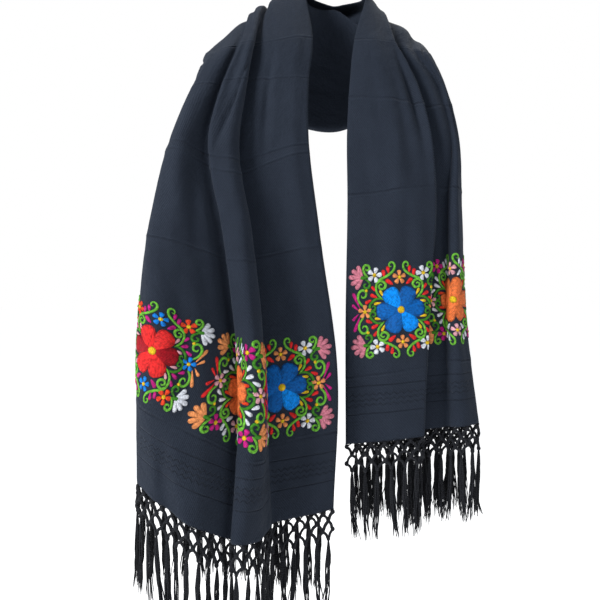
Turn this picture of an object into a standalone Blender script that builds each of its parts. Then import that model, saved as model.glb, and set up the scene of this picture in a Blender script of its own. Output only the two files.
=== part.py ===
# Embroidered shawl, folded in half lengthwise and worn round the neck, both ends down the front.
# The wearer faces -Y and stands along +Z. The origin is the middle of the neck at shoulder height.
# One woven rectangle is followed as a folded surface: "across" runs from the selvedge at the neck
# to the other selvedge, "along" runs from the right hem, round the nape, to the left hem.

import bpy
import numpy as np

# Driving dimensions, in millimetres
CLOTH_WIDTH = 775.0
WALL = 1.6
SEAM = 0.7
FRINGE_LENGTH = 143.0
FRINGE_CELLS = 43
STRIP_TOP = 0.5
STRIP_HEIGHT = 3.4
NET_ROW = 12.0
NET_ROWS = 3
CORD_ACROSS = 2.2
CORD_ALONG = 2.6
CORD_THICK = 2.6
TASSEL_ROOT = 1.5
NORMAL_REACH = 5.0
# A corner rounded by this much or more in both fronts is wide, and takes one point
SOFT_FROM = 30.0

# How far along the cloth each section lies
ALONG = dict(hem=0.0, band=188.0, waist=405.0, elbow=535.0, chest=625.0, collarbone=730.0, crest=805.0,
             shoulder=857.0, blade=899.0, back=941.0, nape=985.0)
CLOTH_END = 2 * ALONG["nape"] - 85.0
LEFT_ALONG = dict(hem=CLOTH_END, band=1689.0, waist=1532.0, elbow=1421.0, chest=1347.0,
                  collarbone=1239.0, crest=1165.0, shoulder=1113.0, blade=1071.0, back=1029.0)
FRONT_SECTIONS = ("hem", "band", "waist", "elbow", "chest", "collarbone")

# One row for each fold line of the wearer's right front, from the neck selvedge outward and back:
# how much its corner is rounded, then x and y of the line in each of the lower sections.
RIGHT_LOWER = """
fold      round   hem_x hem_y  band_x band_y  waist_x waist_y
edge       0       -11 -148      -5 -150      -31 -138
aMid       90      -50 -155     -50 -157      -72 -146
aOut       90      -84 -154     -88 -157     -106 -149
aEnd       5       -98 -157    -112 -158     -131 -148
bWall      5      -101 -172    -106 -172     -126 -160
bRight     9       -113 -204    -104 -214     -124 -188
bCrown     10     -130 -222    -114 -228     -136 -204
bGroove    9      -141 -226    -126 -230     -149 -204
bLeft      7      -152 -221    -141 -221     -165 -198
tuckIn     6      -148 -205    -135 -197     -161 -178
cStart     6      -157 -206    -147 -199     -172 -180
c1         70     -174 -226    -165 -223     -190 -204
c2         70     -206 -248    -205 -253     -222 -220
c3         24     -228 -230    -244 -261     -246 -216
c4         24     -250 -236    -262 -248     -257 -204
sideFront  11     -279 -205    -271 -226     -264 -186
sideBack   11     -268 -174    -264 -198     -257 -160
k1         60     -232 -158    -232 -170     -228 -140
k2         60     -180 -144    -180 -150     -178 -130
kFoldOut   7       -82 -139     -82 -141      -90 -126
kFoldIn    7      -110 -112    -112 -114     -120 -104
k3         60      -70  -98     -70 -102      -80 -94
backEdge   0       -22  -96     -20 -100      -40 -92
"""

# The same lines higher up, and at the shoulder crest how far out each lies (share) and how high
# it stands above the shoulder (lift).
RIGHT_UPPER = """
fold      elbow_x elbow_y  chest_x chest_y  collarbone_x collarbone_y  crest_out crest_lift
edge       -46 -126          -46 -104          -40 -64           0.00 14
aMid       -86 -134          -82 -114          -68 -76           0.14 27
aOut      -124 -133         -116 -113         -100 -75           0.26 33
aEnd      -150 -130         -143 -106         -129 -66           0.355 19
bWall     -146 -142         -139 -116         -126 -74           0.35 29
bRight    -145 -158         -137 -128         -124 -84           0.345 32
bCrown    -156 -172         -146 -139         -131 -92           0.39 37
bGroove   -170 -168         -160 -129         -137 -86           0.43 32
bLeft     -188 -170         -174 -138         -144 -88           0.48 36
tuckIn    -186 -150         -174 -120         -147 -76           0.50 29
cStart    -193 -150         -179 -118         -151 -74           0.53 27
c1        -205 -168         -190 -132         -160 -84           0.60 33
c2        -222 -176         -206 -134         -174 -82           0.73 29
c3        -234 -170         -217 -126         -188 -74           0.86 28
c4        -240 -160         -223 -116         -204 -64           0.96 26
sideFront -243 -146         -226 -104         -213 -52           1.04 19
sideBack  -237 -124         -220 -84          -208 -36           1.03 4
k1        -212 -106         -198 -72          -180 -32           0.88 3
k2        -170 -104         -160 -74          -148 -36           0.70 5
kFoldOut   -98 -104         -108 -78          -114 -40           0.52 4
kFoldIn   -126 -88          -118 -64          -104 -36           0.44 3
k3         -90 -78           -90 -58           -86 -38           0.28 1
backEdge   -52 -78           -52 -60           -52 -42           0.05 0
"""

# The same for the wearer's left front, whose outer half is folded away behind in three layers.
LEFT_LOWER = """
fold      round   hem_x hem_y  band_x band_y  waist_x waist_y
edge       0         8 -120       8 -120       11 -115
aMid       90       60 -127      66 -128       68 -124
aGroove    14      104 -124     108 -125      116 -120
aEdge      7       127 -118     135 -117      146 -111
tuckUpper  6       104 -107     110 -107      120 -102
tuckLower  6       104 -93      110 -94       120 -90
dStart     6       138 -94      141 -94       150 -88
dMid       18      155 -90      156 -90       160 -85
eFoot      5       164 -86      163 -86       166 -83
eEdge      8       170 -106     166 -108      170 -98
eMid       16      188 -106     179 -107      180 -96
sideFront  9       213 -88      192 -84       189 -76
sideBack   9       211 -68      191 -66       187 -58
h1         60      160 -76      150 -76       150 -68
h1End      6        25 -89       25 -89        30 -85
h2Start    6        25 -76       25 -76        30 -72
h2Mid      60      115 -65      110 -65       108 -59
h2End      6       200 -55      184 -54       178 -48
h3Start    6       200 -42      184 -41       177 -35
h3a        60      130 -50      120 -50       118 -45
h3b        60       88 -54       85 -54        86 -50
h3c        40       70 -56       69 -56        71 -53
backEdge   0        50 -58       50 -58        54 -56
"""
LEFT_UPPER = """
fold      elbow_x elbow_y  chest_x chest_y  collarbone_x collarbone_y  crest_out crest_lift
edge        11 -108           16 -93            28 -62           0.00 14
aMid        60 -117           58 -103           52 -71           0.10 16
aGroove    119 -100          104 -82            76 -60           0.17 14
aEdge      140 -104          122 -86            90 -62           0.235 18
tuckUpper  120 -91           105 -73            79 -52           0.20 12
tuckLower  120 -80           105 -61            80 -44           0.21 6
dStart     146 -81           128 -66            95 -47           0.30 11
dMid       160 -86           142 -72           107 -51           0.45 28
eFoot      172 -72           156 -56           120 -39           0.59 23
eEdge      175 -82           159 -66           126 -45           0.67 31
eMid       181 -79           165 -63           137 -42           0.82 27
sideFront  187 -62           172 -46           150 -28           0.97 18
sideBack   184 -46           169 -31           147 -16           0.98 1
h1         150 -58           138 -41           124 -22           0.70 1
h1End       38 -83            46 -64            66 -34           0.50 1
h2Start     38 -71            46 -53            66 -23           0.50 -6
h2Mid      106 -51            98 -36            98 -14           0.74 -4
h2End      174 -35           158 -20           134 -5            0.88 -12
h3Start    172 -23           156 -8            131 4             0.88 -21
h3a        116 -37           108 -23           100 -3            0.66 -20
h3b         86 -43           84 -29            82 -7            0.50 -20
h3c         73 -45           72 -31            69 -9            0.36 -20
backEdge    56 -48           58 -34            56 -11           0.20 -20
"""

# Height of the weft in each section, at some of the fold lines. Between them it runs evenly.
RIGHT_HEIGHTS = """
section      edge  bRight  cStart  sideFront  backEdge
hem          -717  -745    -741    -661       -712
band         -529  -549    -538    -473       -530
waist        -318  -330    -329    -310       -322
elbow        -186  -199    -198    -190       -186
chest        -100  -115    -116    -118       -98
collarbone   -6    -16     -25     -54        -10
"""
LEFT_HEIGHTS = """
section      edge  aEdge  sideFront  sideBack  h1End  h2End  h3Start  backEdge
hem          -631  -619   -605       -605      -612   -600   -600     -604
band         -436  -427   -422       -422      -428   -421   -421     -427
waist        -276  -272   -270       -270      -276   -270   -270     -272
elbow        -167  -164   -164       -164      -164   -164   -164     -164
chest        -93   -92    -91        -91       -84    -88    -90      -80
collarbone   -6    -16    -30        -34       -9     -44    -52      -24
"""

# The shoulder under the cloth at the crest, and the middle of the back, from the neck outward
RIGHT_SHOULDER = dict(neck=(-44.0, 6.0, 83.0), tip=(-195.0, 12.0, -45.0))
LEFT_SHOULDER = dict(neck=(40.0, 6.0, 72.0), tip=(158.0, 30.0, -62.0))
BACK = dict(neck=(0.0, 60.0, 84.0), tip=(0.0, 98.0, -125.0), bow=14.0, roll=0.35)

# The gathered swag at the nape, and the sections between it and the shoulder crest
SWAG = dict(folds=12, reach=0.87, lift=14.0, fold_lift=24.0, round=6.0)
WRAP_TURNS = dict(shoulder=30.0, blade=50.0, back=69.0)


def table(text):
    """Rows of a text table as dictionaries, keyed by the column names of its first line."""
    lines = [line.split() for line in text.strip().splitlines()]
    return [dict(zip(lines[0], row)) for row in lines[1:]]


def merged(lower, upper):
    """The rows of two tables of the same fold lines, joined."""
    return [{**low, **high} for low, high in zip(lower, upper)]


def spread(key_rows, key_heights, plan):
    """Height at every fold line, even in plan distance between the key lines."""
    steps = np.hypot(*np.diff(plan, axis=0).T)
    run = np.concatenate([[0.0], np.cumsum(steps)])
    return np.interp(run, run[key_rows], key_heights)


def front_sections(folds, heights):
    """Corner points of each front section, one row for each fold line."""
    names = [row["fold"] for row in folds]
    sections = {}
    for row in heights:
        name = row["section"]
        plan = np.array([[float(f[name + "_x"]), float(f[name + "_y"])] for f in folds])
        keys = [key for key in row if key != "section"]
        z = spread([names.index(key) for key in keys], [float(row[key]) for key in keys], plan)
        sections[name] = np.column_stack([plan, z])
    return sections


def swag_folds(count):
    """Share and lift of every fold line at the nape: outer layer in swag folds, plain layer under it."""
    index = np.arange(SWAG["folds"])
    uneven = 1.0 + 0.3 * np.sin(1.7 * index)
    share = list(index / (SWAG["folds"] - 1) * SWAG["reach"])
    lift = list(SWAG["lift"] + SWAG["fold_lift"] * uneven * (index % 2))
    # The plain turn under the last swag fold, and the layer that lies on the wearer's back
    share += [0.94, 0.965, 0.985, 0.985]
    lift += [17.0, 13.0, 8.0, 2.0]
    inner = count - len(share)
    share += list(np.linspace(0.96, 0.03, inner))
    lift += [-4.0] + [-8.0] * (inner - 1)
    return np.array(share), np.array(lift)


def wrap_section(folds, shoulder, turn):
    """Corner points at a turn of 0 (over the shoulder crest) to 90 degrees (middle of the back)."""
    angle = np.radians(turn)
    swag_share, swag_lift = swag_folds(len(folds))
    toward_back = np.sin(angle) ** 2
    share = np.array([float(f["crest_out"]) for f in folds])
    lift = np.array([float(f["crest_lift"]) for f in folds])
    share += (swag_share - share) * toward_back
    lift += (swag_lift - lift) * toward_back

    # The line under the cloth, from the neck to the outer or lower fold
    def swing(key):
        side = np.array(shoulder[key])
        back = np.array(BACK[key])
        height = side[2] + (back[2] - side[2]) * toward_back
        return np.array([side[0] * np.cos(angle), side[1] + (back[1] - side[1]) * np.sin(angle), height])

    neck, tip = swing("neck"), swing("tip")
    slope = np.array(shoulder["tip"]) - np.array(shoulder["neck"])
    up = np.array([-slope[2], 0.0, slope[0]]) * np.sign(slope[0]) / np.hypot(slope[0], slope[2])
    up = up * np.cos(angle) + np.array([0.0, 1.0, 0.0]) * np.sin(angle)
    bow = BACK["bow"] * np.sin(angle) * np.sin(np.pi * share)
    points = neck + share[:, None] * (tip - neck) + lift[:, None] * up
    points[:, 1] += bow
    points[:, 2] += BACK["roll"] * toward_back * lift * np.clip(1.0 - 2.0 * share, 0.0, 1.0)
    return points


def build_frame():
    """All sections in order along the cloth: their positions, corner points and roundings."""
    right = merged(table(RIGHT_LOWER), table(RIGHT_UPPER))
    left = merged(table(LEFT_LOWER), table(LEFT_UPPER))
    right_front = front_sections(right, table(RIGHT_HEIGHTS))
    left_front = front_sections(left, table(LEFT_HEIGHTS))
    right_round = np.array([float(f["round"]) for f in right])
    left_round = np.array([float(f["round"]) for f in left])
    swag_round = np.full(len(right), SWAG["round"])
    rows = [(ALONG[s], right_front[s], right_round) for s in FRONT_SECTIONS]
    rows.append((ALONG["crest"], wrap_section(right, RIGHT_SHOULDER, 0.0), right_round))
    for name, turn in WRAP_TURNS.items():
        rows.append((ALONG[name], wrap_section(right, RIGHT_SHOULDER, turn), swag_round))
    rows.append((ALONG["nape"], wrap_section(right, RIGHT_SHOULDER, 90.0), swag_round))
    for name, turn in reversed(WRAP_TURNS.items()):
        rows.append((LEFT_ALONG[name], wrap_section(left, LEFT_SHOULDER, turn), swag_round))
    rows.append((LEFT_ALONG["crest"], wrap_section(left, LEFT_SHOULDER, 0.0), left_round))
    rows += [(LEFT_ALONG[s], left_front[s], left_round) for s in reversed(FRONT_SECTIONS)]
    places = np.array([row[0] for row in rows])
    soft = np.minimum(right_round, left_round) >= SOFT_FROM
    return places, np.array([row[1] for row in rows]), np.array([row[2] for row in rows]), soft


def smooth_between(places, values, at):
    """Values at one place along the cloth, on a smooth curve through all sections."""
    index = int(np.clip(np.searchsorted(places, at) - 1, 0, len(places) - 2))
    step = places[index + 1] - places[index]
    rise = (values[index + 1] - values[index]) / step

    def slope(i):
        if i in (0, len(places) - 1):
            return rise
        before = (values[i] - values[i - 1]) / (places[i] - places[i - 1])
        after = (values[i + 1] - values[i]) / (places[i + 1] - places[i])
        share = (places[i + 1] - places[i]) / (places[i + 1] - places[i - 1])
        return before * share + after * (1.0 - share)

    t = (at - places[index]) / step
    start, end = slope(index), slope(index + 1)
    return ((1 + 2 * t) * (1 - t) ** 2 * values[index] + t * (1 - t) ** 2 * step * start
            + t * t * (3 - 2 * t) * values[index + 1] + t * t * (t - 1) * step * end)


def rounded(corners, rounding, soft, sharp_samples, soft_samples):
    """The section's curve: straight between fold lines, each corner taken off by a small arc."""
    points = [corners[0]]
    for i in range(1, len(corners) - 1):
        back = corners[i - 1] - corners[i]
        ahead = corners[i + 1] - corners[i]
        back *= min(0.5, rounding[i] / max(np.linalg.norm(back), 1e-6))
        ahead *= min(0.5, rounding[i] / max(np.linalg.norm(ahead), 1e-6))
        for t in soft_samples if soft[i] else sharp_samples:
            points.append(corners[i] + (1 - t) ** 2 * back + t * t * ahead)
    points.append(corners[-1])
    return np.array(points)


PLACES, CORNERS, ROUNDING, SOFT = build_frame()


def section(at, sharp_samples=(0.12, 0.88), soft_samples=(0.5,)):
    """The cloth's curve across, at one place along it."""
    corners = smooth_between(PLACES, CORNERS, at)
    rounding = smooth_between(PLACES, ROUNDING, at)
    return rounded(corners, rounding, SOFT, sharp_samples, soft_samples)


def cloth_grid(cuts):
    """Points of the cloth, a row for each place along it, and the normals away from the wearer."""
    grid = np.array([section(at) for at in cuts])
    ahead = np.array([section(min(at + NORMAL_REACH, CLOTH_END)) for at in cuts])
    behind = np.array([section(max(at - NORMAL_REACH, 0.0)) for at in cuts])
    normal = np.cross(ahead - behind, np.gradient(grid, axis=1))
    return grid, normal / np.linalg.norm(normal, axis=2, keepdims=True)


def sheet_solid(grid, normal, thickness):
    """Vertices and faces of a closed wall of even thickness on a grid of points."""
    rows, columns = grid.shape[:2]
    offset = normal * thickness / 2
    vertices = np.concatenate([(grid + offset).reshape(-1, 3), (grid - offset).reshape(-1, 3)])
    under = rows * columns
    faces = []
    for i in range(rows - 1):
        for j in range(columns - 1):
            a = i * columns + j
            b, c, d = a + 1, a + columns + 1, a + columns
            faces.append((a, d, c, b))
            faces.append((a + under, b + under, c + under, d + under))
    rim = [i * columns for i in range(rows)]
    rim += [(rows - 1) * columns + j for j in range(1, columns)]
    rim += [i * columns + columns - 1 for i in range(rows - 2, -1, -1)]
    rim += [j for j in range(columns - 2, 0, -1)]
    for a, b in zip(rim, rim[1:] + rim[:1]):
        faces.append((a, a + under, b + under, b))
    return vertices, faces


def add_object(name, vertices, faces, material):
    mesh = bpy.data.meshes.new(name)
    mesh.from_pydata((np.asarray(vertices) * 0.001).tolist(), [], faces)
    mesh.materials.append(material)
    mesh.shade_smooth()
    mesh.set_sharp_from_angle(angle=1.0)
    item = bpy.data.objects.new(name, mesh)
    bpy.context.scene.collection.objects.link(item)
    return item


def cloth_piece(name, cuts, material):
    """One stretch of the cloth, with a row of points at each of the given places along it."""
    grid, normal = cloth_grid(cuts)
    vertices, faces = sheet_solid(grid, normal, WALL)
    return add_object(name, vertices, faces, material)


def rows_between(places, counts):
    """Places along the cloth: each stretch between two sections cut into so many rows."""
    cuts = [places[0]]
    for start, end, count in zip(places, places[1:], counts):
        cuts += list(np.linspace(start, end, count + 1)[1:])
    return cuts


def hem_curve(at):
    """Functions that give the point and the level normal at a distance along a hem."""
    curve = section(at)
    steps = np.linalg.norm(np.diff(curve, axis=0), axis=1)
    run = np.concatenate([[0.0], np.cumsum(steps)])
    run *= CLOTH_WIDTH / run[-1]
    side = 1.0 if at == 0 else -1.0

    def point(across):
        return np.array([np.interp(across, run, curve[:, k]) for k in range(3)])

    def normal(across):
        reach = 7.0
        step = point(min(across + reach, CLOTH_WIDTH)) - point(max(across - reach, 0.0))
        level = np.array([-step[1], step[0], 0.0]) * side
        return level / np.linalg.norm(level)

    return point, normal


def fringe_piece(name, at, material):
    """A narrow strip under the hem, a net of knotted cords, and a tassel from each lowest knot."""
    point, normal = hem_curve(at)
    pitch = CLOTH_WIDTH / FRINGE_CELLS
    flat = []
    faces = []
    roots = []
    strip_low = STRIP_TOP + STRIP_HEIGHT

    def corner(across, drop):
        flat.append((float(np.clip(across, 0.0, CLOTH_WIDTH)), drop))
        return len(flat) - 1

    # The strip, with the upper half of each cord's knot in its lower edge
    knots = {}
    upper = []
    lower = []
    for i in range(FRINGE_CELLS + 1):
        middle = float(np.clip(i * pitch, CORD_ACROSS / 2, CLOTH_WIDTH - CORD_ACROSS / 2))
        for across in (middle - CORD_ACROSS, middle + CORD_ACROSS, middle + pitch / 2):
            if 0 <= across <= CLOTH_WIDTH or across in (middle - CORD_ACROSS, middle + CORD_ACROSS):
                upper.append(corner(across, STRIP_TOP))
                lower.append(corner(across, strip_low))
        knots[0, 2 * i] = dict(L=lower[-3] if i < FRINGE_CELLS else lower[-2],
                               R=lower[-2] if i < FRINGE_CELLS else lower[-1],
                               D=corner(middle, strip_low + CORD_ALONG))
        faces.append((knots[0, 2 * i]["L"], knots[0, 2 * i]["D"], knots[0, 2 * i]["R"]))
    for k in range(len(upper) - 1):
        faces.append((upper[k], lower[k], lower[k + 1], upper[k + 1]))

    # Knots below it, in rows that stand half a cell apart
    for row in range(1, NET_ROWS + 1):
        odd = row % 2
        for i in range(FRINGE_CELLS + 1 - odd):
            middle = (i + 0.5 * odd) * pitch
            middle = float(np.clip(middle, CORD_ACROSS / 2, CLOTH_WIDTH - CORD_ACROSS / 2))
            drop = strip_low + row * NET_ROW
            knot = dict(L=corner(middle - CORD_ACROSS, drop), R=corner(middle + CORD_ACROSS, drop),
                        U=corner(middle, drop - CORD_ALONG))
            if row < NET_ROWS:
                knot["D"] = corner(middle, drop + CORD_ALONG)
                faces.append((knot["L"], knot["D"], knot["R"], knot["U"]))
            else:
                knot["DL"] = corner(middle - TASSEL_ROOT, drop + CORD_ALONG)
                knot["DR"] = corner(middle + TASSEL_ROOT, drop + CORD_ALONG)
                faces.append((knot["L"], knot["DL"], knot["DR"], knot["R"], knot["U"]))
                roots.append((middle, drop + CORD_ALONG, knot["DL"], knot["DR"]))
            knots[row, 2 * i + odd] = knot

    # Two cords down from each knot
    for (row, place), knot in knots.items():
        for side in (-1, 1):
            below = knots.get((row + 1, place + side))
            if below is None:
                continue
            if side < 0:
                faces.append((knot["L"], below["U"], below["R"], knot["D"]))
            else:
                faces.append((knot["D"], below["L"], below["U"], knot["R"]))

    # Front and back of the net, and walls along every open edge but the tassels' roots
    front = []
    back = []
    for across, drop in flat:
        middle = point(across) - np.array([0.0, 0.0, drop])
        out = normal(across) * CORD_THICK / 2
        front.append(middle + out)
        back.append(middle - out)
    count = len(flat)
    vertices = front + back
    solid = [tuple(face) for face in faces]
    solid += [tuple(v + count for v in reversed(face)) for face in faces]
    edges = {(a, b) for face in faces for a, b in zip(face, face[1:] + face[:1])}
    root_edges = {(root[2], root[3]) for root in roots}
    for a, b in sorted(edges):
        if (b, a) not in edges and (a, b) not in root_edges:
            solid.append((b, a, a + count, b + count))

    # Tassels: a four-sided lock, narrow at the knot, full in the middle and thin at its tip
    lock = ((6.0, 2.6, 2.2), (70.0, 3.3, 2.4), (None, 1.3, 1.0))
    for middle, start, left_root, right_root in roots:
        out = normal(middle)
        sideways = np.cross([0.0, 0.0, 1.0], out)
        sideways *= np.sign(np.dot(point(min(middle + 2, CLOTH_WIDTH)) - point(middle), sideways))
        ring = [left_root, right_root, right_root + count, left_root + count]
        for drop, half_width, half_depth in lock:
            drop = FRINGE_LENGTH - start if drop is None else drop
            centre = point(middle) - np.array([0.0, 0.0, start + drop])
            first = len(vertices)
            vertices += [centre - sideways * half_width + out * half_depth,
                         centre + sideways * half_width + out * half_depth,
                         centre + sideways * half_width - out * half_depth,
                         centre - sideways * half_width - out * half_depth]
            new = [first, first + 1, first + 2, first + 3]
            for k in range(4):
                solid.append((ring[k], new[k], new[(k + 1) % 4], ring[(k + 1) % 4]))
            ring = new
        solid.append(tuple(reversed(ring)))
    if at == 0:
        # Seen from in front, this hem runs the other way, so every face is turned
        solid = [tuple(reversed(face)) for face in solid]
    return add_object(name, vertices, solid, material)


def black_cloth(name, colour, roughness):
    material = bpy.data.materials.new(name)
    material.use_nodes = True
    shader = material.node_tree.nodes["Principled BSDF"]
    shader.inputs["Base Color"].default_value = (*colour, 1.0)
    shader.inputs["Roughness"].default_value = roughness
    shader.inputs["Metallic"].default_value = 0.0
    return material


def main():
    for item in list(bpy.data.objects):
        bpy.data.objects.remove(item, do_unlink=True)
    order = FRONT_SECTIONS + ("crest",)
    right_places = [ALONG[s] for s in order]
    left_places = [LEFT_ALONG[s] for s in order][::-1]
    wrap_places = [ALONG[s] for s in ("crest", *WRAP_TURNS, "nape")]
    wrap_places += [LEFT_ALONG[s] for s in (*reversed(WRAP_TURNS), "crest")]
    right_places[-1] -= SEAM / 2
    wrap_places[0] += SEAM / 2
    wrap_places[-1] -= SEAM / 2
    left_places[0] += SEAM / 2
    pieces = {
        "right_front": (rows_between(right_places, (2, 2, 2, 1, 2, 2)), (0.020, 0.026, 0.034)),
        "neck_wrap": (rows_between(wrap_places, (2, 2, 1, 1, 1, 2, 2, 2)), (0.019, 0.025, 0.033)),
        "left_front": (rows_between(left_places, (2, 2, 1, 2, 2, 2)), (0.018, 0.024, 0.032)),
    }
    for name, (cuts, colour) in pieces.items():
        cloth_piece(name, cuts, black_cloth(name + "_twill", colour, 0.85))
    fringe_piece("right_fringe", 0.0, black_cloth("right_fringe_cord", (0.012, 0.014, 0.018), 0.8))
    fringe_piece("left_fringe", CLOTH_END, black_cloth("left_fringe_cord", (0.011, 0.013, 0.017), 0.8))


main()
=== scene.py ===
import math
import bpy
import numpy as np
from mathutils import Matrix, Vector, noise


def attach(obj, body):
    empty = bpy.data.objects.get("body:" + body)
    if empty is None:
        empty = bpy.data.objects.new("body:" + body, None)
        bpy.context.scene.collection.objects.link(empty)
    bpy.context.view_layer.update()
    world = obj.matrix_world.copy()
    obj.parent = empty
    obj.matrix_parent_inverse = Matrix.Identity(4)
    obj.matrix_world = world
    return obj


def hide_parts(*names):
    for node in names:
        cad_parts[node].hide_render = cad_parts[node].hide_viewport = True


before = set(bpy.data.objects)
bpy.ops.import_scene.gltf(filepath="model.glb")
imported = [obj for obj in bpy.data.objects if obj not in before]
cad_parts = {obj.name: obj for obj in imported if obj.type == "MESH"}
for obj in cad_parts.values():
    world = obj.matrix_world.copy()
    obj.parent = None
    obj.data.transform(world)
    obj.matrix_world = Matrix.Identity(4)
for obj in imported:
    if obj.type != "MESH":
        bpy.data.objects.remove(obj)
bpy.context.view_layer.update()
print("model loaded")

# Embroidered shawl, worn round the neck with both ends down the front.
# Lengths in this file are millimetres unless a comment says otherwise.
mm = 0.001

# camera, lights and floor, in metres
view = {
    "place": (-0.0587, -1.165, -0.42), "lens": 42.86, "sensor": 36.0,
    "backdrop": (1.0, 1.0, 1.0), "ambient": (0.9, 0.95, 1.0), "ambientStrength": 0.34,
    "floorHeight": -1.3, "floorReach": 60.0, "floorColour": (0.8, 0.8, 0.8), "floorGlow": 0.75,
}
lamps = {
    "windowLight": {"place": (-1.9, -1.6, 1.0), "size": 0.9, "watts": 98.0},
    "roomLight": {"place": (1.5, -1.9, 0.3), "size": 1.2, "watts": 9.0},
    "backLight": {"place": (0.8, 1.6, 1.9), "size": 1.6, "watts": 34.0},
}
aimPoint = Vector((-0.05, -0.1, -0.4))


def lookAt(place, target):
    return (Vector(target) - Vector(place)).to_track_quat("-Z", "Y").to_euler()


def inScene(name, data, place=(0, 0, 0), turn=(0, 0, 0)):
    item = bpy.data.objects.new(name, data)
    item.location = place
    item.rotation_euler = turn
    bpy.context.scene.collection.objects.link(item)
    return item


cameraData = bpy.data.cameras.new("camera")
cameraData.lens = view["lens"]
cameraData.sensor_width = view["sensor"]
bpy.context.scene.camera = inScene("camera", cameraData, view["place"], (math.pi / 2, 0, 0))
for name, lamp in lamps.items():
    lampData = bpy.data.lights.new(name, "AREA")
    lampData.size = lamp["size"]
    lampData.energy = lamp["watts"]
    inScene(name, lampData, lamp["place"], lookAt(lamp["place"], aimPoint))
world = bpy.data.worlds.new("studio")
world.use_nodes = True
# the camera sees a white wall, and the cloth is lit by a dimmer room
tree = world.node_tree
room = tree.nodes["Background"]
room.inputs["Color"].default_value = (*view["ambient"], 1)
room.inputs["Strength"].default_value = view["ambientStrength"]
wall = tree.nodes.new("ShaderNodeBackground")
wall.inputs["Color"].default_value = (*view["backdrop"], 1)
chooser = tree.nodes.new("ShaderNodeMixShader")
tree.links.new(tree.nodes.new("ShaderNodeLightPath").outputs["Is Camera Ray"], chooser.inputs[0])
tree.links.new(room.outputs[0], chooser.inputs[1])
tree.links.new(wall.outputs[0], chooser.inputs[2])
tree.links.new(chooser.outputs[0], tree.nodes["World Output"].inputs["Surface"])
bpy.context.scene.world = world
bpy.context.scene.view_settings.view_transform = "Standard"


# shader maths
class Wire:
    def __init__(self, tree, socket):
        self.tree = tree
        self.socket = socket

    def maths(self, operation, *others, first=None):
        node = self.tree.nodes.new("ShaderNodeMath")
        node.operation = operation
        values = (self, *others) if first is None else (first, self)
        for socket, value in zip(node.inputs, values):
            if isinstance(value, Wire):
                self.tree.links.new(value.socket, socket)
            else:
                socket.default_value = value
        return Wire(self.tree, node.outputs[0])

    def __add__(self, other):
        return self.maths("ADD", other)

    def __sub__(self, other):
        return self.maths("SUBTRACT", other)

    def __mul__(self, other):
        return self.maths("MULTIPLY", other)

    def __truediv__(self, other):
        return self.maths("DIVIDE", other)

    def __rsub__(self, first):
        return self.maths("SUBTRACT", first=first)

    __radd__ = __add__
    __rmul__ = __mul__

    def within(self):
        # held between nought and one
        return self.maths("MINIMUM", 1.0).maths("MAXIMUM", 0.0)

    def stripe(self):
        # one where the wire is nought, falling to nought where it is one either way
        return (1.0 - self.maths("ABSOLUTE")).maths("MAXIMUM", 0.0)


class Finish:
    def __init__(self, name, **sockets):
        self.material = bpy.data.materials.new(name)
        self.material.use_nodes = True
        self.tree = self.material.node_tree
        self.shader = self.tree.nodes["Principled BSDF"]
        self.fill(self.shader, sockets)

    def fill(self, node, sockets):
        for key, value in sockets.items():
            socket = node.inputs[key] if isinstance(key, int) else node.inputs[key.replace("_", " ")]
            if isinstance(value, Wire):
                self.tree.links.new(value.socket, socket)
            else:
                socket.default_value = value

    def node(self, kind, output=0, settings=None, sockets=None):
        node = self.tree.nodes.new(kind)
        for key, value in (settings or {}).items():
            setattr(node, key, value)
        self.fill(node, sockets or {})
        return Wire(self.tree, node.outputs[output])

    def paint(self, factor, first, second):
        colours = {0: factor, 6: (*first, 1), 7: (*second, 1)}
        self.fill(self.shader, {"Base Color": self.node("ShaderNodeMix", 2, {"data_type": "RGBA"}, colours)})

    def uv(self, layer="cloth"):
        place = self.node("ShaderNodeUVMap", 0, {"uv_map": layer})
        parts = self.tree.nodes.new("ShaderNodeSeparateXYZ")
        self.tree.links.new(place.socket, parts.inputs[0])
        return place, Wire(self.tree, parts.outputs[0]), Wire(self.tree, parts.outputs[1])

    def noise(self, vector, scale, detail=3.0):
        return self.node("ShaderNodeTexNoise", 0, None, {"Vector": vector, "Scale": scale, "Detail": detail})

    def bump(self, height, distance):
        normal = self.node("ShaderNodeBump", 0, None, {"Height": height, "Distance": distance})
        self.fill(self.shader, {"Normal": normal})


# the cloth as a folded surface: "across" from the selvedge at the neck, "along" from the right hem
cloth = {
    "width": 775.0, "end": 1885.0, "shell": 1.1,
    # how far apart points are: along the cloth, across it on flat runs and on folds
    "rowStep": 4.4, "flatStep": 5.2, "foldStep": 3.4,
    # fewest and most points on a flat run and on a fold, and how far their steps are evened out
    "flatCounts": (1, 40), "foldCounts": (3, 24), "evened": 0.35,
}
# where each section lies along the cloth
alongRight = {"hem": 0.0, "band": 188.0, "waist": 405.0, "elbow": 535.0, "chest": 625.0, "collarbone": 730.0,
              "crest": 805.0, "shoulder": 857.0, "blade": 899.0, "back": 941.0, "nape": 985.0}
alongLeft = {"hem": cloth["end"], "band": 1689.0, "waist": 1532.0, "elbow": 1421.0, "chest": 1347.0,
             "collarbone": 1239.0, "crest": 1165.0, "shoulder": 1113.0, "blade": 1071.0, "back": 1029.0}
frontNames = ("hem", "band", "waist", "elbow", "chest", "collarbone")
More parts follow.
